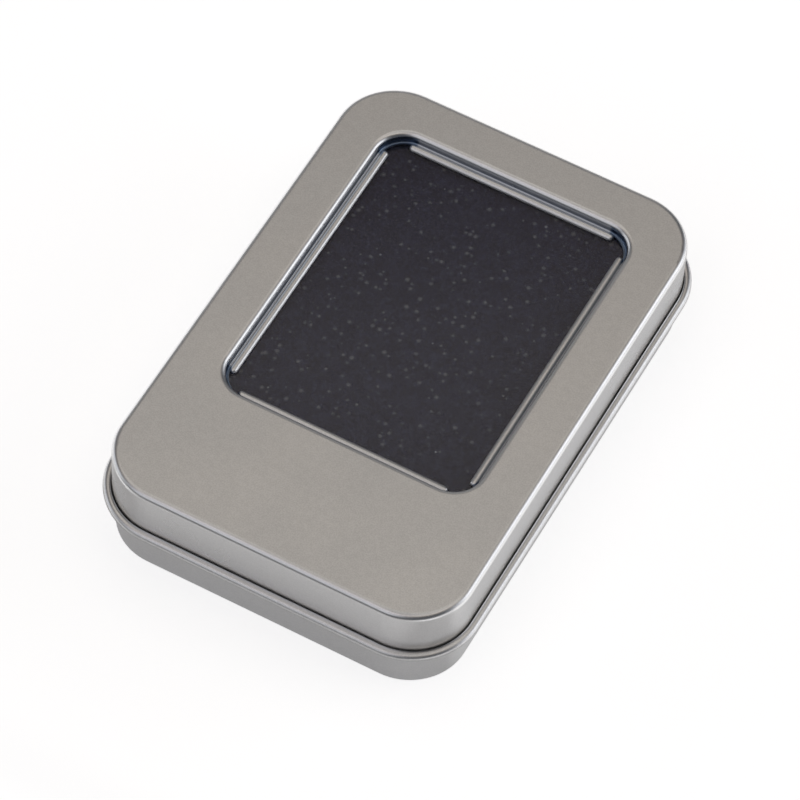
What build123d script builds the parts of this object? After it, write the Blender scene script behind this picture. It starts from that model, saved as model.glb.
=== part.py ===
from build123d import *
import os
from math import acos, degrees

# A small drawn tinplate box with a slip-over lid, a clear window in the lid and a foam filler.
# The origin is at the middle of the tray's underside. +Z is up, X runs across the box and
# +Y runs along it, towards the end that the window is nearer to.

# Outline of the lid's skirt, and height of the closed box
lid_width = 60.0
lid_length = 88.3
lid_corner_radius = 10.0
box_height = 18.3

# Tinplate
sheet = 0.25

# Lid: the bend at the edge of its panel, its depth and the curl along its lower edge
panel_bend_radius = 1.0
lid_depth = 10.3
curl_bore_radius = 0.575
curl_slit = 0.2

# Window opening, between the upright faces of its flange, and the bend from the panel to them
window_width = 43.3
window_length = 56.5
window_corner_radius = 4.9
window_end_margin = 8.15
window_bend_radius = 0.95

# Foot of the flange, bent inwards all round
foot_width = 0.45
foot_bend_radius = 0.3

# Half-round bead along the foot of each straight side: its crest's depth, its gap to the flange
bead_depth = 1.4
bead_radius = 0.65
bead_gap = 0.3
bead_end_margin = 4.3

# Clear pane, bonded to the underside of the foot and the beads
pane_thickness = 0.3
pane_overlap = 2.0

# Tray: its gap inside the lid's skirt, the bend at its floor and its edge, rolled inwards
skirt_gap = 0.25
seat_gap = 0.05
tray_bend_radius = 0.6
tray_roll_radius = 0.55
tray_roll_angle = 215.0

# Foam filler, clear of the tray's walls and of the pane
foam_side_gap = 0.4
foam_top_gap = 0.4

# Lid: places that follow from the sizes above
half_width = lid_width / 2
half_length = lid_length / 2
panel_underside = box_height - sheet
panel_bend_height = box_height - panel_bend_radius
panel_bend_inside = panel_bend_radius - sheet
skirt_inside = half_width - sheet
rim_bend_centre = (half_width - panel_bend_radius, panel_bend_height)
rim_inner_x = rim_bend_centre[0] - panel_bend_radius
rim_setback = half_width - rim_inner_x

# Curl: its free edge stops short of the skirt by the slit
curl_outer_radius = curl_bore_radius + sheet
curl_height = box_height - lid_depth + curl_outer_radius
curl_centre = (half_width + curl_bore_radius, curl_height)
curl_end_angle = degrees(acos((curl_slit - curl_bore_radius) / curl_outer_radius))
curl_turn = 180 + curl_end_angle

# Window: its flange, the foot of the flange, the beads and the pane
window_half_width = window_width / 2
window_half_length = window_length / 2
window_centre = half_length - window_end_margin - window_half_length
window_bend_height = box_height - window_bend_radius
window_bend_centre = (window_half_width + window_bend_radius, window_bend_height)
flange_outer_x = window_bend_centre[0] + window_bend_radius
flange_setback = flange_outer_x - window_half_width
foot_underside = box_height - bead_depth - bead_radius
foot_top = foot_underside + sheet
foot_bend_centre = (window_half_width - foot_bend_radius, foot_top + foot_bend_radius)
foot_edge_x = window_half_width - foot_width
bead_bore_radius = bead_radius - sheet
pane_underside = foot_underside - pane_thickness

# Tray: its outline lies inside the lid's, and its rolled edge meets the lid's panel
tray_inset = sheet + skirt_gap
tray_half_width = half_width - tray_inset
tray_half_length = half_length - tray_inset
tray_corner_radius = lid_corner_radius - tray_inset
wall_inside = tray_half_width - sheet
floor_bend_centre = (tray_half_width - tray_bend_radius, tray_bend_radius)
floor_edge_x = floor_bend_centre[0] - tray_bend_radius
floor_setback = tray_half_width - floor_edge_x
tray_roll_height = panel_underside - seat_gap - tray_roll_radius
tray_roll_centre = (tray_half_width - tray_roll_radius, tray_roll_height)
tray_roll_bore_radius = tray_roll_radius - sheet


def outline(half_x, half_y, radius, centre_y=0.0):
    """Closed outline with round corners that starts in the middle of its +X side."""
    straight_x = half_x - radius
    straight_y = half_y - radius
    with BuildLine() as loop:
        Line((half_x, centre_y), (half_x, centre_y + straight_y))
        CenterArc((straight_x, centre_y + straight_y), radius, 0, 90)
        Line((straight_x, centre_y + half_y), (-straight_x, centre_y + half_y))
        CenterArc((-straight_x, centre_y + straight_y), radius, 90, 90)
        Line((-half_x, centre_y + straight_y), (-half_x, centre_y - straight_y))
        CenterArc((-straight_x, centre_y - straight_y), radius, 180, 90)
        Line((-straight_x, centre_y - half_y), (straight_x, centre_y - half_y))
        CenterArc((straight_x, centre_y - straight_y), radius, 270, 90)
        Line((half_x, centre_y - straight_y), (half_x, centre_y))
    return loop.line


def on_circle(centre, radius, angle):
    """Point on a circle, at an angle in degrees from the first axis."""
    arm = Vector(radius, 0).rotate(Axis.Z, angle)
    return (centre[0] + arm.X, centre[1] + arm.Y)


def bead(wall_x, length):
    """Half-round bead along the window's +X side, open underneath."""
    middle = wall_x - bead_gap - bead_radius
    with BuildPart() as ridge:
        with BuildSketch(Plane.XZ):
            with Locations((middle, foot_underside)):
                Circle(bead_radius)
                Circle(bead_bore_radius, mode=Mode.SUBTRACT)
                Rectangle(
                    2 * bead_radius,
                    bead_radius,
                    align=(Align.CENTER, Align.MAX),
                    mode=Mode.SUBTRACT,
                )
        extrude(amount=length / 2, both=True)
    return ridge.part


# Lid shell: rim, window flange, the panel between them, and the beads
with BuildPart() as lid_shell:
    with BuildSketch(Plane.XZ):
        with BuildLine():
            Line((rim_inner_x, box_height), (rim_bend_centre[0], box_height))
            CenterArc(rim_bend_centre, panel_bend_radius, 90, -90)
            Line((half_width, panel_bend_height), (half_width, curl_height))
            CenterArc(curl_centre, curl_bore_radius, 180, curl_turn)
            Line(
                on_circle(curl_centre, curl_bore_radius, curl_end_angle),
                on_circle(curl_centre, curl_outer_radius, curl_end_angle),
            )
            CenterArc(curl_centre, curl_outer_radius, curl_end_angle, -curl_turn)
            Line((skirt_inside, curl_height), (skirt_inside, panel_bend_height))
            CenterArc(rim_bend_centre, panel_bend_inside, 0, 90)
            Line((rim_bend_centre[0], panel_underside), (rim_inner_x, panel_underside))
            Line((rim_inner_x, panel_underside), (rim_inner_x, box_height))
        make_face()
    sweep(path=outline(half_width, half_length, lid_corner_radius))

    with BuildSketch(Plane.XZ.offset(-window_centre)):
        with BuildLine():
            Line((flange_outer_x, box_height), (window_bend_centre[0], box_height))
            CenterArc(window_bend_centre, window_bend_radius, 90, 90)
            Line((window_half_width, window_bend_height), (window_half_width, foot_bend_centre[1]))
            CenterArc(foot_bend_centre, foot_bend_radius, 0, -90)
            Line((foot_bend_centre[0], foot_top), (foot_edge_x, foot_top))
            Line((foot_edge_x, foot_top), (foot_edge_x, foot_underside))
            Line((foot_edge_x, foot_underside), (foot_bend_centre[0], foot_underside))
            CenterArc(foot_bend_centre, foot_bend_radius + sheet, 270, 90)
            Line(
                (window_half_width + sheet, foot_bend_centre[1]),
                (window_half_width + sheet, window_bend_height),
            )
            CenterArc(window_bend_centre, window_bend_radius - sheet, 180, -90)
            Line((window_bend_centre[0], panel_underside), (flange_outer_x, panel_underside))
            Line((flange_outer_x, panel_underside), (flange_outer_x, box_height))
        make_face()
    sweep(path=outline(window_half_width, window_half_length, window_corner_radius, window_centre))

    with BuildSketch(Plane.XY.offset(panel_underside)):
        RectangleRounded(
            lid_width - 2 * rim_setback,
            lid_length - 2 * rim_setback,
            lid_corner_radius - rim_setback,
        )
        with Locations((0, window_centre)):
            RectangleRounded(
                window_width + 2 * flange_setback,
                window_length + 2 * flange_setback,
                window_corner_radius + flange_setback,
                mode=Mode.SUBTRACT,
            )
    extrude(amount=sheet)

    side_bead = bead(window_half_width, window_length - 2 * bead_end_margin)
    end_bead = bead(window_half_length, window_width - 2 * bead_end_margin)
    with Locations((0, window_centre)):
        for turn, ridge in ((0, side_bead), (90, end_bead), (180, side_bead), (270, end_bead)):
            add(ridge, rotation=(0, 0, turn))

# Window pane: a flat clear sheet, larger than the opening all round
with BuildPart() as window_pane:
    with BuildSketch(Plane.XY.offset(pane_underside)):
        with Locations((0, window_centre)):
            RectangleRounded(
                window_width + 2 * pane_overlap,
                window_length + 2 * pane_overlap,
                window_corner_radius + pane_overlap,
            )
    extrude(amount=pane_thickness)

# Base tray: wall with its rolled edge and floor bend, then the flat floor
with BuildPart() as base_tray:
    with BuildSketch(Plane.XZ):
        with BuildLine():
            Line((floor_edge_x, 0), (floor_bend_centre[0], 0))
            CenterArc(floor_bend_centre, tray_bend_radius, 270, 90)
            Line((tray_half_width, tray_bend_radius), (tray_half_width, tray_roll_height))
            CenterArc(tray_roll_centre, tray_roll_radius, 0, tray_roll_angle)
            Line(
                on_circle(tray_roll_centre, tray_roll_radius, tray_roll_angle),
                on_circle(tray_roll_centre, tray_roll_bore_radius, tray_roll_angle),
            )
            CenterArc(tray_roll_centre, tray_roll_bore_radius, tray_roll_angle, -tray_roll_angle)
            Line((wall_inside, tray_roll_height), (wall_inside, tray_bend_radius))
            CenterArc(floor_bend_centre, tray_bend_radius - sheet, 0, -90)
            Line((floor_bend_centre[0], sheet), (floor_edge_x, sheet))
            Line((floor_edge_x, sheet), (floor_edge_x, 0))
        make_face()
    sweep(path=outline(tray_half_width, tray_half_length, tray_corner_radius))

    with BuildSketch():
        RectangleRounded(
            2 * (tray_half_width - floor_setback),
            2 * (tray_half_length - floor_setback),
            tray_corner_radius - floor_setback,
        )
    extrude(amount=sheet)

# Foam insert: a plain block on the tray's floor, up to just below the pane
with BuildPart() as foam_insert:
    with BuildSketch(Plane.XY.offset(sheet)):
        RectangleRounded(
            2 * (wall_inside - foam_side_gap),
            2 * (tray_half_length - sheet - foam_side_gap),
            tray_corner_radius - sheet - foam_side_gap,
        )
    extrude(amount=pane_underside - foam_top_gap - sheet)

lid_shell.part.label = "lid_shell"
window_pane.part.label = "window_pane"
base_tray.part.label = "base_tray"
foam_insert.part.label = "foam_insert"

os.makedirs("parts", exist_ok=True)
export_step(lid_shell.part, "parts/lid_shell.step")
export_step(window_pane.part, "parts/window_pane.step")
export_step(base_tray.part, "parts/base_tray.step")
export_step(foam_insert.part, "parts/foam_insert.step")
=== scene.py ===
import math

import bmesh
import bpy
from bpy.props import FloatProperty, FloatVectorProperty, PointerProperty
from mathutils import Matrix, Quaternion, Vector, noise


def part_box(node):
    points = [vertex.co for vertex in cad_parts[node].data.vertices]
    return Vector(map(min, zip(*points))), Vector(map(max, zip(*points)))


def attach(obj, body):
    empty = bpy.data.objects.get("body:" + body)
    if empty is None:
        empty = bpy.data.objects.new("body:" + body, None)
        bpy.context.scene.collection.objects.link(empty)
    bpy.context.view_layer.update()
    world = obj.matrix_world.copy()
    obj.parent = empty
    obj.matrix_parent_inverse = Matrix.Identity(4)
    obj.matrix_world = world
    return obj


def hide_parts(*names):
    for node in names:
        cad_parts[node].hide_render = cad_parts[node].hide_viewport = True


bl_info = {
    "name": "Window Tin",
    "version": (1, 0, 0),
    "blender": (4, 5, 0),
    "location": "View3D > Sidebar > Window Tin",
    "description": "Finishes and studio for a small tinplate box with a window lid and a foam filler",
    "category": "Object",
}

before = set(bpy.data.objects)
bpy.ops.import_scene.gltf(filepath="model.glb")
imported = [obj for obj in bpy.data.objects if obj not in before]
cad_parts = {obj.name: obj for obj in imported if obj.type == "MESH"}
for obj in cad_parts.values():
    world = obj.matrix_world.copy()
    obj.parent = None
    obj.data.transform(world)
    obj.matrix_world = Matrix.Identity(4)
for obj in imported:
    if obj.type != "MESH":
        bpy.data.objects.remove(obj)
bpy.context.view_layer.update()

MM = 0.001

# Boxes of the pieces in the frame
TRAY_LOW, TRAY_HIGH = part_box("base_tray")
LID_LOW, LID_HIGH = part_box("lid_shell")
PANE_LOW, PANE_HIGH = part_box("window_pane")
FOAM_LOW, FOAM_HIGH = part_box("foam_insert")

# Sizes of the tin that the boxes don't show, as in the part's source
CURL_WIDTH = 1.4 * MM
PANE_OVERLAP = 2.0 * MM
LID_CORNER = 10.0 * MM
TRAY_CORNER = 9.5 * MM
WINDOW_CORNER = 4.9 * MM
BEAD_RADIUS = 0.65 * MM
BEAD_GAP = 0.3 * MM
BEAD_END_MARGIN = 4.3 * MM

# Window opening, which the pane overlaps all round
WINDOW_HALF_WIDTH = (PANE_HIGH.x - PANE_LOW.x) / 2 - PANE_OVERLAP
WINDOW_HALF_LENGTH = (PANE_HIGH.y - PANE_LOW.y) / 2 - PANE_OVERLAP
WINDOW_CENTRE_Y = (PANE_HIGH.y + PANE_LOW.y) / 2


# Settings that a user would change

class PlateSettings(bpy.types.PropertyGroup):
    """Colour, grain and gloss of the tinplate."""

    colour: FloatVectorProperty(
        name="Plate Colour",
        description="Colour of the satin plate where its grain is lightest",
        subtype="COLOR",
        size=3,
        min=0,
        max=1,
        default=(0.73, 0.73, 0.73),
    )
    shade: FloatVectorProperty(
        name="Grain Colour",
        description="Colour in the hollows of the plate's grain",
        subtype="COLOR",
        size=3,
        min=0,
        max=1,
        default=(0.63, 0.63, 0.63),
    )
    roughness: FloatProperty(
        name="Roughness",
        description="Roughness of the satin surface",
        subtype="FACTOR",
        min=0,
        max=1,
        default=0.34,
    )
    grain_size: FloatProperty(
        name="Grain Size",
        description="Distance between the bumps of the plate's fine grain",
        unit="LENGTH",
        default=0.22 * MM,
    )
    grain_depth: FloatProperty(
        name="Grain Depth",
        description="Height of the bumps of the plate's fine grain",
        unit="LENGTH",
        default=0.004 * MM,
    )
    rim_width: FloatProperty(
        name="Paler Edge Band",
        description="Width of the smoother band along the drawn edges",
        unit="LENGTH",
        default=1.2 * MM,
    )


class PaneSettings(bpy.types.PropertyGroup):
    """Clear film of the window."""

    tint: FloatVectorProperty(
        name="Film Tint",
        description="Colour of light that has passed through the film",
        subtype="COLOR",
        size=3,
        min=0,
        max=1,
        default=(0.97, 0.975, 0.985),
    )
    roughness: FloatProperty(
        name="Roughness",
        description="Roughness of the film's surface",
        subtype="FACTOR",
        min=0,
        max=1,
        default=0.04,
    )
    index: FloatProperty(
        name="Refractive Index",
        description="Refractive index of the film",
        min=1,
        max=2.5,
        default=1.30,
    )


class FoamSettings(bpy.types.PropertyGroup):
    """Shape and surface of the foam filler."""

    corner_radius: FloatProperty(
        name="Corner Radius",
        description="Radius of the block's upright corners, which follow the tray's",
        unit="LENGTH",
        default=8.75 * MM,
    )
    edge_radius: FloatProperty(
        name="Edge Radius",
        description="Softness of the block's upper and lower edges",
        unit="LENGTH",
        default=0.7 * MM,
    )
    spacing: FloatProperty(
        name="Face Spacing",
        description="Distance between the cuts that let the faces undulate",
        unit="LENGTH",
        default=2.0 * MM,
    )
    unevenness: FloatProperty(
        name="Unevenness",
        description="How far the soft faces lie in from flat",
        unit="LENGTH",
        default=0.22 * MM,
    )
    colour: FloatVectorProperty(
        name="Foam Colour",
        description="Colour of the foam where its mottling is lightest",
        subtype="COLOR",
        size=3,
        min=0,
        max=1,
        default=(0.041, 0.042, 0.080),
    )
    cell_colour: FloatVectorProperty(
        name="Cell Colour",
        description="Colour in the foam's open cells and where its mottling is darkest",
        subtype="COLOR",
        size=3,
        min=0,
        max=1,
        default=(0.011, 0.012, 0.030),
    )
    cell_size: FloatProperty(
        name="Cell Size",
        description="Width of one cell of the foam",
        unit="LENGTH",
        default=0.42 * MM,
    )
    mottle_size: FloatProperty(
        name="Mottling Size",
        description="Width of the light and dark spots in the foam's colour",
        unit="LENGTH",
        default=0.4 * MM,
    )
    dust_colour: FloatVectorProperty(
        name="Dust Colour",
        description="Colour of the dust on the foam",
        subtype="COLOR",
        size=3,
        min=0,
        max=1,
        default=(0.125, 0.13, 0.15),
    )


class StudioSettings(bpy.types.PropertyGroup):
    """Camera, floor, lamp and surrounding light."""

    azimuth: FloatProperty(
        name="Azimuth",
        description="Direction of the camera round the tin",
        subtype="ANGLE",
        default=math.radians(25.25),
    )
    elevation: FloatProperty(
        name="Elevation",
        description="Height of the camera above the horizon",
        subtype="ANGLE",
        default=math.radians(54.915),
    )
    roll: FloatProperty(
        name="Roll",
        description="Turn of the camera about its line of sight",
        subtype="ANGLE",
        default=math.radians(-3.929),
    )
    distance: FloatProperty(
        name="Distance",
        description="From the camera to the point it looks at",
        unit="LENGTH",
        default=754.7 * MM,
    )
    aim: FloatVectorProperty(
        name="Aim",
        description="Point on the lid's top that lies in the middle of the picture",
        subtype="TRANSLATION",
        unit="LENGTH",
        size=3,
        default=(4.413 * MM, -9.616 * MM, 18.3 * MM),
    )
    lens: FloatProperty(
        name="Focal Length",
        description="Focal length of the camera in millimetres",
        default=225.2,
    )
    floor_size: FloatProperty(
        name="Floor Size",
        description="Width of the pale floor",
        unit="LENGTH",
        default=6.0,
    )
    key_power: FloatProperty(
        name="Key Lamp",
        description="Power of the soft lamp at the right",
        unit="POWER",
        default=0.5,
    )
    sky_strength: FloatProperty(
        name="Sky Strength",
        description="Strength of the studio's surrounding light",
        default=1.0,
    )


# Light of the surroundings by height: the sine of the elevation, and the colour there. The lid's
# top mirrors the step near 0.8, and the bends at its edges mirror the rest
SKY_BANDS = (
    (0.0, (0.08, 0.09, 0.105)),
    (0.69, (0.085, 0.085, 0.09)),
    (0.77, (0.145, 0.12, 0.105)),
    (0.79, (0.33, 0.275, 0.23)),
    (0.812, (0.76, 0.69, 0.615)),
    (0.87, (0.86, 0.81, 0.745)),
    (0.94, (0.62, 0.595, 0.56)),
    (1.0, (0.49, 0.48, 0.465)),
)

# Brighter areas of the surroundings, and a dimmer one: direction, colour, and the cosines between
# which each fades in
SKY_LOBES = (
    ((0.84, 0.52, 0.14), (0.68, 0.69, 0.73), 0.70, 0.97),
    ((-0.25, -0.76, 0.60), (0.70, 0.70, 0.72), 0.82, 0.97),
    ((-0.20, -0.50, 0.85), (-0.24, -0.24, -0.20), 0.85, 0.97),
    ((-0.96, -0.20, 0.10), (0.80, 0.81, 0.84), 0.82, 0.98),
    ((-0.55, 0.78, 0.28), (0.22, 0.21, 0.20), 0.80, 0.95),
)


# Values between which a noise texture mostly lies
NOISE_RANGE = (0.3, 0.7)


# Shader tools

def add_node(tree, kind, **values):
    """Adds a node, with its properties and its inputs' values set by name."""
    node = tree.nodes.new(kind)
    for name, value in values.items():
        if hasattr(node, name):
            setattr(node, name, value)
        else:
            node.inputs[name.replace("_", " ")].default_value = value
    return node


def maths(tree, operation, first, second=None, clamp=False):
    """Adds a Math node whose operands are sockets or numbers, and returns its output."""
    node = tree.nodes.new("ShaderNodeMath")
    node.operation = operation
    node.use_clamp = clamp
    for socket, operand in zip(node.inputs, (first, second)):
        if isinstance(operand, (int, float)):
            socket.default_value = operand
        elif operand is not None:
            tree.links.new(operand, socket)
    return node.outputs[0]


def remap(tree, value, low, high, new_low=0.0, new_high=1.0):
    """Maps a value from one range to another, smoothly and clamped."""
    node = tree.nodes.new("ShaderNodeMapRange")
    node.interpolation_type = "SMOOTHSTEP"
    tree.links.new(value, node.inputs["Value"])
    node.inputs["From Min"].default_value = low
    node.inputs["From Max"].default_value = high
    node.inputs["To Min"].default_value = new_low
    node.inputs["To Max"].default_value = new_high
    return node.outputs["Result"]


def blend_colour(tree, factor, first, second):
    """Mixes two colours, each a socket or a colour, and returns the output."""
    node = tree.nodes.new("ShaderNodeMix")
    node.data_type = "RGBA"
    tree.links.new(factor, node.inputs["Factor"])
    colour_sockets = [s for s in node.inputs if s.type == "RGBA"]
    for socket, colour in zip(colour_sockets, (first, second)):
        if isinstance(colour, bpy.types.NodeSocket):
            tree.links.new(colour, socket)
        else:
            socket.default_value = (*colour, 1.0)
    return next(s for s in node.outputs if s.type == "RGBA")


def new_group(name, inputs, outputs):
    """Starts a shader node group with named sockets, and returns it with its two end nodes."""
    tree = bpy.data.node_groups.new(name, "ShaderNodeTree")
    for label, kind, default in inputs:
        socket = tree.interface.new_socket(label, in_out="INPUT", socket_type=kind)
        if default is not None:
            socket.default_value = default
    for label, kind in outputs:
        tree.interface.new_socket(label, in_out="OUTPUT", socket_type=kind)
    return tree, tree.nodes.new("NodeGroupInput"), tree.nodes.new("NodeGroupOutput")


def place_group(tree, name, coordinates, **values):
    """Places a node group in a material, with its own values."""
    node = tree.nodes.new("ShaderNodeGroup")
    node.node_tree = bpy.data.node_groups[name]
    tree.links.new(coordinates, node.inputs["Vector"])
    for label, value in values.items():
        node.inputs[label.replace("_", " ")].default_value = value
    return node


def new_material(name):
    """Starts a material, and returns it with its tree, its Principled shader and its Object coordinates."""
    material = bpy.data.materials.new(name)
    material.use_nodes = True
    tree = material.node_tree
    shader = tree.nodes["Principled BSDF"]
    place = tree.nodes.new("ShaderNodeTexCoord").outputs["Object"]
    return material, tree, shader, place


def fine_grain_group():
    """Fine, even grain, for the plate's satin surface and the foam's skin."""
    tree, start, end = new_group(
        "Fine Grain",
        (("Vector", "NodeSocketVector", None), ("Grain Size", "NodeSocketFloat", 0.2 * MM)),
        (("Height", "NodeSocketFloat"), ("Tone", "NodeSocketFloat")),
    )
    coarse_scale = 0.22
    fine_share = 0.75
    scale = maths(tree, "DIVIDE", 1.0, start.outputs["Grain Size"])
    fine = add_node(tree, "ShaderNodeTexNoise", Detail=2.0, Roughness=0.6)
    coarse = add_node(tree, "ShaderNodeTexNoise", Detail=3.0, Roughness=0.55)
    tree.links.new(start.outputs["Vector"], fine.inputs["Vector"])
    tree.links.new(start.outputs["Vector"], coarse.inputs["Vector"])
    tree.links.new(scale, fine.inputs["Scale"])
    tree.links.new(maths(tree, "MULTIPLY", scale, coarse_scale), coarse.inputs["Scale"])
    fine_part = maths(tree, "MULTIPLY", fine.outputs["Fac"], fine_share)
    coarse_part = maths(tree, "MULTIPLY", coarse.outputs["Fac"], 1.0 - fine_share)
    height = maths(tree, "ADD", fine_part, coarse_part)
    tree.links.new(height, end.inputs["Height"])
    tree.links.new(remap(tree, height, 0.34, 0.66), end.inputs["Tone"])


def outline_group():
    """Distance outside a rectangle with round corners, seen from above."""
    tree, start, end = new_group(
        "Outline Distance",
        (
            ("Vector", "NodeSocketVector", None),
            ("Half Width", "NodeSocketFloat", 30 * MM),
            ("Half Length", "NodeSocketFloat", 44 * MM),
            ("Corner Radius", "NodeSocketFloat", 10 * MM),
            ("Centre Y", "NodeSocketFloat", 0.0),
        ),
        (("Distance", "NodeSocketFloat"),),
    )
    parts = tree.nodes.new("ShaderNodeSeparateXYZ")
    tree.links.new(start.outputs["Vector"], parts.inputs[0])
    shifted = maths(tree, "SUBTRACT", parts.outputs["Y"], start.outputs["Centre Y"])
    reach = []
    for position, half in ((parts.outputs["X"], "Half Width"), (shifted, "Half Length")):
        straight = maths(tree, "SUBTRACT", start.outputs[half], start.outputs["Corner Radius"])
        reach.append(maths(tree, "SUBTRACT", maths(tree, "ABSOLUTE", position), straight))
    outside = [maths(tree, "MAXIMUM", value, 0.0) for value in reach]
    squares = [maths(tree, "MULTIPLY", value, value) for value in outside]
    corner = maths(tree, "SQRT", maths(tree, "ADD", *squares))
    inside = maths(tree, "MINIMUM", maths(tree, "MAXIMUM", *reach), 0.0)
    distance = maths(tree, "ADD", corner, inside)
    distance = maths(tree, "SUBTRACT", distance, start.outputs["Corner Radius"])
    tree.links.new(distance, end.inputs["Distance"])


def specks_group():
    """Sparse small specks, such as dust, or painted glints of single cell walls."""
    tree, start, end = new_group(
        "Specks",
        (
            ("Vector", "NodeSocketVector", None),
            ("Spacing", "NodeSocketFloat", 1.5 * MM),
            ("Speck Size", "NodeSocketFloat", 0.15),
            ("Share", "NodeSocketFloat", 0.4),
        ),
        (("Mask", "NodeSocketFloat"),),
    )
    cells = add_node(tree, "ShaderNodeTexVoronoi")
    tree.links.new(start.outputs["Vector"], cells.inputs["Vector"])
    tree.links.new(maths(tree, "DIVIDE", 1.0, start.outputs["Spacing"]), cells.inputs["Scale"])
    chosen = tree.nodes.new("ShaderNodeSeparateColor")
    tree.links.new(cells.outputs["Color"], chosen.inputs[0])
    kept = maths(tree, "LESS_THAN", chosen.outputs["Red"], start.outputs["Share"])
    size = maths(tree, "MULTIPLY", start.outputs["Speck Size"], chosen.outputs["Green"])
    near = maths(tree, "SUBTRACT", 1.0, maths(tree, "DIVIDE", cells.outputs["Distance"], size), clamp=True)
    tree.links.new(maths(tree, "MULTIPLY", near, kept), end.inputs["Mask"])


def painted_crevice_shade_group():
    """Painted shade in the lid's crevices: down the window's flange to its foot, and beside the curl."""
    tree, start, end = new_group(
        "Painted Crevice Shade",
        (
            ("Vector", "NodeSocketVector", None),
            ("Window Distance", "NodeSocketFloat", 1.0),
            ("Skirt Distance", "NodeSocketFloat", 1.0),
        ),
        (("Window", "NodeSocketFloat"), ("Curl", "NodeSocketFloat")),
    )
    parts = tree.nodes.new("ShaderNodeSeparateXYZ")
    tree.links.new(start.outputs["Vector"], parts.inputs[0])
    x, y, z = (parts.outputs[axis] for axis in "XYZ")

    # Painted shade on the flange below its bend: as far in as the beads, and over the whole foot in the
    # corners
    window = start.outputs["Window Distance"]
    flange = remap(tree, window, 0.04 * MM, 0.24 * MM, 1.0, 0.0)
    low = remap(tree, z, LID_HIGH.z - 0.7 * MM, LID_HIGH.z - 0.3 * MM, 1.0, 0.0)
    sides = remap(tree, window, -0.65 * MM, -0.35 * MM, 0.0, 0.55)
    corners = remap(tree, window, -0.6 * MM, -0.42 * MM)
    along = maths(tree, "SUBTRACT", y, WINDOW_CENTRE_Y)
    blend = 0.5 * MM
    for position, half in ((x, WINDOW_HALF_WIDTH), (along, WINDOW_HALF_LENGTH)):
        corner_start = half - WINDOW_CORNER
        away = maths(tree, "ABSOLUTE", position)
        near = remap(tree, away, corner_start - blend, corner_start + blend)
        corners = maths(tree, "MULTIPLY", corners, near)
    inner = maths(tree, "MAXIMUM", sides, corners)
    shade = maths(tree, "MULTIPLY", maths(tree, "MULTIPLY", flange, inner), low)
    tree.links.new(shade, end.inputs["Window"])

    # Painted shade on the foot of the skirt above the curl, along the front and fading out along the sides
    slit = remap(tree, start.outputs["Skirt Distance"], 0.05 * MM, 0.55 * MM, 1.0, 0.0)
    above = remap(tree, z, LID_LOW.z + CURL_WIDTH, LID_LOW.z + 4 * MM, 1.0, 0.0)
    front = remap(tree, y, LID_LOW.y + 6 * MM, LID_LOW.y + 16 * MM, 1.0, 0.0)
    slit = maths(tree, "MULTIPLY", maths(tree, "MULTIPLY", slit, above), front)
    tree.links.new(slit, end.inputs["Curl"])


# Pieces

def plate_material(name, settings, skirt, window=None, extra_roughness=0.0):
    """Satin tinplate with a fine grain, paler and smoother along its drawn edges, and with painted shade in
    its crevices.
    """
    material, tree, shader, place = new_material(name)
    grain = place_group(tree, "Fine Grain", place, Grain_Size=settings.grain_size)
    specks = place_group(tree, "Specks", place, Spacing=2.6 * MM, Speck_Size=0.05, Share=0.3)

    rim = None
    distances = []
    for half_width, half_length, radius, centre in filter(None, (skirt, window)):
        edge = place_group(
            tree,
            "Outline Distance",
            place,
            Half_Width=half_width,
            Half_Length=half_length,
            Corner_Radius=radius,
            Centre_Y=centre,
        )
        distances.append(edge.outputs["Distance"])
        away = maths(tree, "ABSOLUTE", edge.outputs["Distance"])
        band = remap(tree, away, 0.0, settings.rim_width, 1.0, 0.0)
        rim = band if rim is None else maths(tree, "MAXIMUM", rim, band)

    colour = blend_colour(tree, grain.outputs["Tone"], settings.shade, settings.colour)
    # Paler colour along the drawn edges; the same band is also smoother in roughness below
    pale = tuple(min(1.0, c * 1.12) for c in settings.colour)
    paler_edge = maths(tree, "MULTIPLY", rim, 0.5)
    colour = blend_colour(tree, paler_edge, colour, pale)
    dusty = maths(tree, "MULTIPLY", specks.outputs["Mask"], 0.5)
    colour = blend_colour(tree, dusty, colour, (0.7, 0.7, 0.7))
    # Painted shade: navy down the window's flange, grey on the skirt above the curl
    if window:
        crevices = place_group(tree, "Painted Crevice Shade", place)
        for label, distance in zip(("Skirt Distance", "Window Distance"), distances):
            tree.links.new(distance, crevices.inputs[label])
        for label, strength, shade in (
            ("Window", 0.88, (0.055, 0.105, 0.19)),
            ("Curl", 0.15, (0.15, 0.15, 0.15)),
        ):
            painted_shade = maths(tree, "MULTIPLY", crevices.outputs[label], strength)
            colour = blend_colour(tree, painted_shade, colour, shade)
    tree.links.new(colour, shader.inputs["Base Color"])

    cloud = add_node(tree, "ShaderNodeTexNoise", Scale=55.0, Detail=4.0)
    tree.links.new(place, cloud.inputs["Vector"])
    base = settings.roughness + extra_roughness
    scatter = 0.025
    rim_polish = 0.06
    rough = remap(tree, cloud.outputs["Fac"], *NOISE_RANGE, base - scatter, base + scatter)
    rough = maths(tree, "SUBTRACT", rough, maths(tree, "MULTIPLY", rim, rim_polish))
    tree.links.new(rough, shader.inputs["Roughness"])

    bump = add_node(tree, "ShaderNodeBump", Strength=1.0, Distance=settings.grain_depth)
    tree.links.new(grain.outputs["Height"], bump.inputs["Height"])
    tree.links.new(bump.outputs["Normal"], shader.inputs["Normal"])
    shader.inputs["Metallic"].default_value = 1.0
    return material


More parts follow.
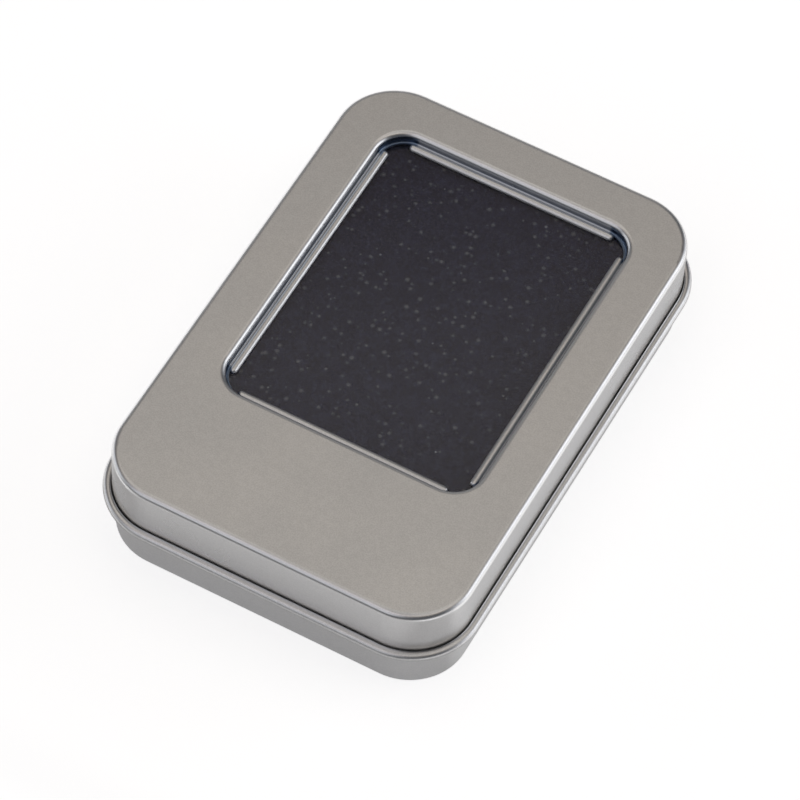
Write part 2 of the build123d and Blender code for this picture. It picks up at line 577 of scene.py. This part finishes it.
class WINDOWTIN_OT_plate(bpy.types.Operator):
    """Gives the lid and the tray their satin tinplate."""

    bl_idname = "windowtin.plate"
    bl_label = "Lid and Tray Plate"

    def execute(self, context):
        settings = context.scene.windowtin_plate
        fine_grain_group()
        outline_group()
        specks_group()
        painted_crevice_shade_group()
        lid = (LID_HIGH.x - CURL_WIDTH, LID_HIGH.y - CURL_WIDTH, LID_CORNER, 0.0)
        window = (WINDOW_HALF_WIDTH, WINDOW_HALF_LENGTH, WINDOW_CORNER, WINDOW_CENTRE_Y)
        tray = (TRAY_HIGH.x, TRAY_HIGH.y, TRAY_CORNER, 0.0)
        finishes = {
            "lid_shell": plate_material("lid_tinplate", settings, lid, window),
            "base_tray": plate_material("tray_tinplate", settings, tray, extra_roughness=0.02),
        }
        for node, material in finishes.items():
            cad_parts[node].material_slots[0].material = material
        return {"FINISHED"}


def bead_end_domes():
    """Round ends, pressed into the same sheet, that close the half-round beads beside the window."""
    clearance = 0.01 * MM
    base = PANE_HIGH.z + clearance
    inset = BEAD_GAP + BEAD_RADIUS
    bm = bmesh.new()
    for across, along in ((inset, BEAD_END_MARGIN), (BEAD_END_MARGIN, inset)):
        for side in (-1, 1):
            for end in (-1, 1):
                x = side * (WINDOW_HALF_WIDTH - across)
                y = WINDOW_CENTRE_Y + end * (WINDOW_HALF_LENGTH - along)
                bmesh.ops.create_uvsphere(
                    bm,
                    u_segments=24,
                    v_segments=12,
                    radius=BEAD_RADIUS - clearance,
                    matrix=Matrix.Translation((x, y, base)),
                )
    everything = bm.verts[:] + bm.edges[:] + bm.faces[:]
    cut = bmesh.ops.bisect_plane(
        bm, geom=everything, plane_co=(0, 0, base), plane_no=(0, 0, 1), dist=1e-7, clear_inner=True
    )
    rims = [item for item in cut["geom_cut"] if isinstance(item, bmesh.types.BMEdge)]
    bmesh.ops.holes_fill(bm, edges=rims, sides=0)
    bmesh.ops.recalc_face_normals(bm, faces=bm.faces)
    for face in bm.faces:
        face.smooth = len(face.verts) <= 4
    mesh = bpy.data.meshes.new("bead_ends")
    bm.to_mesh(mesh)
    bm.free()
    domes = bpy.data.objects.new("bead_ends", mesh)
    bpy.context.scene.collection.objects.link(domes)
    return domes


class WINDOWTIN_OT_bead_ends(bpy.types.Operator):
    """Closes the ends of the beads beside the window."""

    bl_idname = "windowtin.bead_ends"
    bl_label = "Bead Ends"

    def execute(self, context):
        domes = bead_end_domes()
        domes.data.materials.append(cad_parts["lid_shell"].material_slots[0].material)
        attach(domes, "lid")
        return {"FINISHED"}


class WINDOWTIN_OT_pane(bpy.types.Operator):
    """Gives the window its clear film."""

    bl_idname = "windowtin.pane"
    bl_label = "Window Film"

    def execute(self, context):
        settings = context.scene.windowtin_pane
        material, tree, shader, place = new_material("clear_window_film")
        shader.inputs["Base Color"].default_value = (*settings.tint, 1.0)
        shader.inputs["Transmission Weight"].default_value = 1.0
        shader.inputs["IOR"].default_value = settings.index
        haze = add_node(tree, "ShaderNodeTexNoise", Scale=40.0, Detail=4.0)
        tree.links.new(place, haze.inputs["Vector"])
        smoothest, roughest = settings.roughness * 0.6, settings.roughness * 1.4
        rough = remap(tree, haze.outputs["Fac"], *NOISE_RANGE, smoothest, roughest)
        tree.links.new(rough, shader.inputs["Roughness"])

        # Lamps reach what lies behind the film
        clear = add_node(tree, "ShaderNodeBsdfTransparent")
        clear.inputs["Color"].default_value = (*settings.tint, 1.0)
        path = tree.nodes.new("ShaderNodeLightPath")
        choice = tree.nodes.new("ShaderNodeMixShader")
        output = tree.nodes["Material Output"]
        tree.links.new(path.outputs["Is Shadow Ray"], choice.inputs[0])
        tree.links.new(shader.outputs[0], choice.inputs[1])
        tree.links.new(clear.outputs[0], choice.inputs[2])
        tree.links.new(choice.outputs[0], output.inputs["Surface"])
        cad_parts["window_pane"].material_slots[0].material = material
        return {"FINISHED"}


def foam_block(settings):
    """Soft block cut to the tray: round upright corners, soft edges and faces that undulate a little."""
    size = FOAM_HIGH - FOAM_LOW
    middle = (FOAM_HIGH + FOAM_LOW) / 2
    bm = bmesh.new()
    shape = Matrix.Translation(middle) @ Matrix.Diagonal((*size, 1.0))
    bmesh.ops.create_cube(bm, size=1.0, matrix=shape)

    upright = [e for e in bm.edges if abs(e.verts[0].co.z - e.verts[1].co.z) > size.z / 2]
    bmesh.ops.bevel(
        bm,
        geom=upright,
        offset=settings.corner_radius,
        offset_type="OFFSET",
        affect="EDGES",
        segments=14,
        profile=0.5,
        material=-1,
    )
    for end in (FOAM_LOW.z, FOAM_HIGH.z):
        rim = [e for e in bm.edges if all(abs(v.co.z - end) < 1e-6 for v in e.verts)]
        bmesh.ops.bevel(
            bm,
            geom=rim,
            offset=settings.edge_radius,
            offset_type="OFFSET",
            affect="EDGES",
            segments=4,
            profile=0.5,
            material=-1,
        )

    for axis in range(3):
        count = max(2, round(size[axis] / settings.spacing))
        normal = Vector((axis == 0, axis == 1, axis == 2))
        for step in range(1, count):
            point = FOAM_LOW + size * (step / count)
            everything = bm.verts[:] + bm.edges[:] + bm.faces[:]
            bmesh.ops.bisect_plane(bm, geom=everything, plane_co=point, plane_no=normal, dist=1e-6)

    # The underside lies flat on the tray's floor, and every other face undulates
    bm.normal_update()
    broad, fine = 90.0, 260.0
    for vert in bm.verts:
        swell = noise.noise(vert.co * broad) + 0.5 * noise.noise(vert.co * fine)
        depth = settings.unevenness * (0.5 + 0.5 * max(-1.0, min(1.0, swell)))
        if vert.co.z > FOAM_LOW.z + settings.edge_radius:
            vert.co -= vert.normal * depth
    bmesh.ops.recalc_face_normals(bm, faces=bm.faces)
    mesh = bpy.data.meshes.new("foam_pad")
    bm.to_mesh(mesh)
    bm.free()
    mesh.shade_smooth()
    pad = bpy.data.objects.new("foam_pad", mesh)
    bpy.context.scene.collection.objects.link(pad)
    return pad


def foam_material(settings):
    """Dark foam: small cells, soft mottling, dust, and painted glints where single cell walls would catch
    the light.
    """
    material, tree, shader, place = new_material("dark_foam")
    cells = add_node(
        tree,
        "ShaderNodeTexVoronoi",
        feature="SMOOTH_F1",
        Scale=1.0 / settings.cell_size,
        Smoothness=0.35,
    )
    tree.links.new(place, cells.inputs["Vector"])
    grain = place_group(tree, "Fine Grain", place, Grain_Size=settings.mottle_size)
    dust = place_group(tree, "Specks", place, Spacing=1.15 * MM, Speck_Size=0.48, Share=0.7)
    painted_glints = place_group(tree, "Specks", place, Spacing=2.5 * MM, Speck_Size=0.15, Share=0.25)

    colour = blend_colour(tree, grain.outputs["Tone"], settings.cell_colour, settings.colour)
    open_cells = remap(tree, cells.outputs["Distance"], 0.15, 0.75, 0.5, 0.0)
    colour = blend_colour(tree, open_cells, colour, settings.cell_colour)
    colour = blend_colour(tree, dust.outputs["Mask"], colour, settings.dust_colour)
    # Painted glints: single cell walls made lighter in colour, as if catching the light
    painted_glint_colour = tuple(c * 2.5 for c in settings.dust_colour)
    colour = blend_colour(tree, painted_glints.outputs["Mask"], colour, painted_glint_colour)
    tree.links.new(colour, shader.inputs["Base Color"])
    rough = remap(tree, grain.outputs["Tone"], 0.0, 1.0, 0.85, 0.98)
    tree.links.new(rough, shader.inputs["Roughness"])
    shader.inputs["Specular IOR Level"].default_value = 0.3

    grain_part = maths(tree, "MULTIPLY", grain.outputs["Height"], 0.5)
    height = maths(tree, "ADD", cells.outputs["Distance"], grain_part)
    bump = add_node(tree, "ShaderNodeBump", Strength=0.35, Distance=0.08 * MM)
    tree.links.new(height, bump.inputs["Height"])
    tree.links.new(bump.outputs["Normal"], shader.inputs["Normal"])
    return material


class WINDOWTIN_OT_foam(bpy.types.Operator):
    """Makes the foam filler that lies in the tray."""

    bl_idname = "windowtin.foam"
    bl_label = "Foam Filler"

    def execute(self, context):
        settings = context.scene.windowtin_foam
        pad = foam_block(settings)
        pad.data.materials.append(foam_material(settings))
        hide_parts("foam_insert")
        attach(pad, "tray")
        return {"FINISHED"}


# Stage

def studio_floor(size):
    """Pale floor that shows white to the camera and keeps the tin's shadow, with painted shade far in front
    and a painted glow that only the plate's reflections see.
    """
    below_tin = 0.02 * MM
    bm = bmesh.new()
    bmesh.ops.create_grid(bm, x_segments=1, y_segments=1, size=size / 2)
    bmesh.ops.translate(bm, vec=(0, 0, -below_tin), verts=bm.verts)
    mesh = bpy.data.meshes.new("studio_floor")
    bm.to_mesh(mesh)
    bm.free()
    floor = bpy.data.objects.new("studio_floor", mesh)
    bpy.context.scene.collection.objects.link(floor)

    material, tree, shader, place = new_material("pale_floor")
    parts = tree.nodes.new("ShaderNodeSeparateXYZ")
    tree.links.new(place, parts.inputs[0])
    y = parts.outputs["Y"]
    tone = add_node(tree, "ShaderNodeTexNoise", Scale=6.0, Detail=3.0)
    tree.links.new(place, tone.inputs["Vector"])
    colour = blend_colour(tree, tone.outputs["Fac"], (0.60, 0.60, 0.61), (0.62, 0.62, 0.62))
    # Painted shade: the floor's colour turns dark from 75 to 110 mm in front of the tin's middle, for the
    # plate to mirror
    lit = remap(tree, y, -110 * MM, -75 * MM)
    colour = blend_colour(tree, lit, (0.18, 0.18, 0.18), colour)
    tree.links.new(colour, shader.inputs["Base Color"])
    shader.inputs["Roughness"].default_value = 0.9
    shader.inputs["Specular IOR Level"].default_value = 0.2

    # The background's white is seen directly and through the film, but lights nothing
    path = tree.nodes.new("ShaderNodeLightPath")
    seen = maths(tree, "MAXIMUM", path.outputs["Is Camera Ray"], path.outputs["Is Transmission Ray"])
    white = remap(tree, lit, 0.0, 1.0, 0.97, 0.72)
    seen = maths(tree, "MULTIPLY", seen, white)

    # Painted reflection: the floor glows only to glossy rays, as a painted pool of light that the plate
    # mirrors, dimmer in front of the tin, most in a band near its foot
    tray_end = TRAY_LOW.y
    aside = maths(tree, "ABSOLUTE", parts.outputs["X"])
    painted_pool = remap(tree, aside, 37 * MM, 52 * MM, 0.33, 0.88)
    front = remap(tree, y, tray_end - 10.5 * MM, tray_end - 6.5 * MM, 1.0, 0.36)
    foot = remap(tree, y, tray_end - 5.5 * MM, tray_end - 4 * MM, 0.0, 0.56)
    beyond = remap(tree, y, tray_end, tray_end + 10 * MM)
    foot = maths(tree, "MAXIMUM", foot, beyond)
    painted_pool = maths(tree, "MULTIPLY", painted_pool, maths(tree, "MAXIMUM", front, foot))
    painted_pool = maths(tree, "MULTIPLY", painted_pool, remap(tree, lit, 0.0, 1.0, 0.1, 1.0))
    painted_reflection = maths(tree, "MULTIPLY", path.outputs["Is Glossy Ray"], painted_pool)
    shader.inputs["Emission Color"].default_value = (1.0, 1.0, 1.0, 1.0)
    tree.links.new(maths(tree, "MAXIMUM", seen, painted_reflection), shader.inputs["Emission Strength"])
    mesh.materials.append(material)


def studio_lamp(name, place, aim, width, height, power, colour):
    """Soft rectangular lamp that the camera doesn't see."""
    data = bpy.data.lights.new(name, "AREA")
    data.shape = "RECTANGLE"
    data.size = width
    data.size_y = height
    data.energy = power
    data.color = colour
    lamp = bpy.data.objects.new(name, data)
    lamp.location = place
    lamp.rotation_mode = "QUATERNION"
    lamp.rotation_quaternion = (Vector(aim) - Vector(place)).to_track_quat("-Z", "Y")
    lamp.visible_camera = False
    bpy.context.scene.collection.objects.link(lamp)


def studio_sky(settings):
    """Surrounding light: dim low down, warm and lighter high up, with soft brighter areas."""
    world = bpy.data.worlds.new("studio_sky")
    bpy.context.scene.world = world
    world.use_nodes = True
    tree = world.node_tree
    background = tree.nodes["Background"]
    direction = tree.nodes.new("ShaderNodeTexCoord").outputs["Generated"]
    parts = tree.nodes.new("ShaderNodeSeparateXYZ")
    tree.links.new(direction, parts.inputs[0])

    ceiling = tree.nodes.new("ShaderNodeValToRGB")
    tree.links.new(parts.outputs["Z"], ceiling.inputs[0])
    ramp = ceiling.color_ramp
    for place, _ in SKY_BANDS[1:-1]:
        ramp.elements.new(place)
    for element, (place, colour) in zip(ramp.elements, SKY_BANDS):
        element.position = place
        element.color = (*colour, 1.0)

    total = ceiling.outputs["Color"]
    for centre, colour, low, high in SKY_LOBES:
        facing = tree.nodes.new("ShaderNodeVectorMath")
        facing.operation = "DOT_PRODUCT"
        tree.links.new(direction, facing.inputs[0])
        facing.inputs[1].default_value = Vector(centre).normalized()
        glow = tree.nodes.new("ShaderNodeVectorMath")
        glow.operation = "SCALE"
        glow.inputs[0].default_value = colour
        tree.links.new(remap(tree, facing.outputs["Value"], low, high), glow.inputs["Scale"])
        joined = tree.nodes.new("ShaderNodeVectorMath")
        tree.links.new(total, joined.inputs[0])
        tree.links.new(glow.outputs[0], joined.inputs[1])
        total = joined.outputs[0]
    tree.links.new(total, background.inputs["Color"])
    background.inputs["Strength"].default_value = settings.sky_strength


def studio_camera(settings):
    """Camera at the photograph's angle."""
    data = bpy.data.cameras.new("studio_camera")
    data.sensor_width = 36.0
    data.lens = settings.lens
    data.clip_start = 0.01
    data.clip_end = 20.0
    camera = bpy.data.objects.new("studio_camera", data)
    flat = math.cos(settings.elevation)
    back = Vector(
        (
            math.sin(settings.azimuth) * flat,
            -math.cos(settings.azimuth) * flat,
            math.sin(settings.elevation),
        )
    )
    camera.location = Vector(settings.aim) + back * settings.distance
    camera.rotation_mode = "QUATERNION"
    level = (-back).to_track_quat("-Z", "Y")
    camera.rotation_quaternion = level @ Quaternion((0, 0, 1), -settings.roll)
    bpy.context.scene.collection.objects.link(camera)
    bpy.context.scene.camera = camera


class WINDOWTIN_OT_stage(bpy.types.Operator):
    """Sets the floor, the surrounding light, the lamp and the camera."""

    bl_idname = "windowtin.stage"
    bl_label = "Studio"

    def execute(self, context):
        settings = context.scene.windowtin_studio
        context.scene.view_settings.view_transform = "Standard"
        studio_floor(settings.floor_size)
        studio_sky(settings)
        studio_lamp(
            "key_lamp",
            place=(0.62, 0.38, 0.28),
            aim=(0.0, 0.0, 0.01),
            width=0.55,
            height=0.35,
            power=settings.key_power,
            colour=(0.98, 0.985, 1.0),
        )
        studio_camera(settings)
        return {"FINISHED"}


OPERATORS = (
    WINDOWTIN_OT_plate,
    WINDOWTIN_OT_bead_ends,
    WINDOWTIN_OT_pane,
    WINDOWTIN_OT_foam,
    WINDOWTIN_OT_stage,
)


class WINDOWTIN_PT_pieces(bpy.types.Panel):
    """Lists the tin's pieces and its studio."""

    bl_idname = "WINDOWTIN_PT_pieces"
    bl_label = "Window Tin"
    bl_space_type = "VIEW_3D"
    bl_region_type = "UI"
    bl_category = "Window Tin"

    def draw(self, context):
        for operator in OPERATORS:
            self.layout.operator(operator.bl_idname)
        for name in SETTINGS:
            box = self.layout.box()
            group = getattr(context.scene, name)
            for key in group.__annotations__:
                box.prop(group, key)


SETTINGS = {
    "windowtin_plate": PlateSettings,
    "windowtin_pane": PaneSettings,
    "windowtin_foam": FoamSettings,
    "windowtin_studio": StudioSettings,
}


def register():
    for name, group in SETTINGS.items():
        bpy.utils.register_class(group)
        setattr(bpy.types.Scene, name, PointerProperty(type=group))
    for operator in OPERATORS:
        bpy.utils.register_class(operator)
    bpy.utils.register_class(WINDOWTIN_PT_pieces)


def unregister():
    bpy.utils.unregister_class(WINDOWTIN_PT_pieces)
    for operator in reversed(OPERATORS):
        bpy.utils.unregister_class(operator)
    for name, group in reversed(SETTINGS.items()):
        delattr(bpy.types.Scene, name)
        bpy.utils.unregister_class(group)


def main():
    register()
    bpy.ops.windowtin.plate()
    bpy.ops.windowtin.bead_ends()
    bpy.ops.windowtin.pane()
    bpy.ops.windowtin.foam()
    bpy.ops.windowtin.stage()


if __name__ == "__main__":
    main()
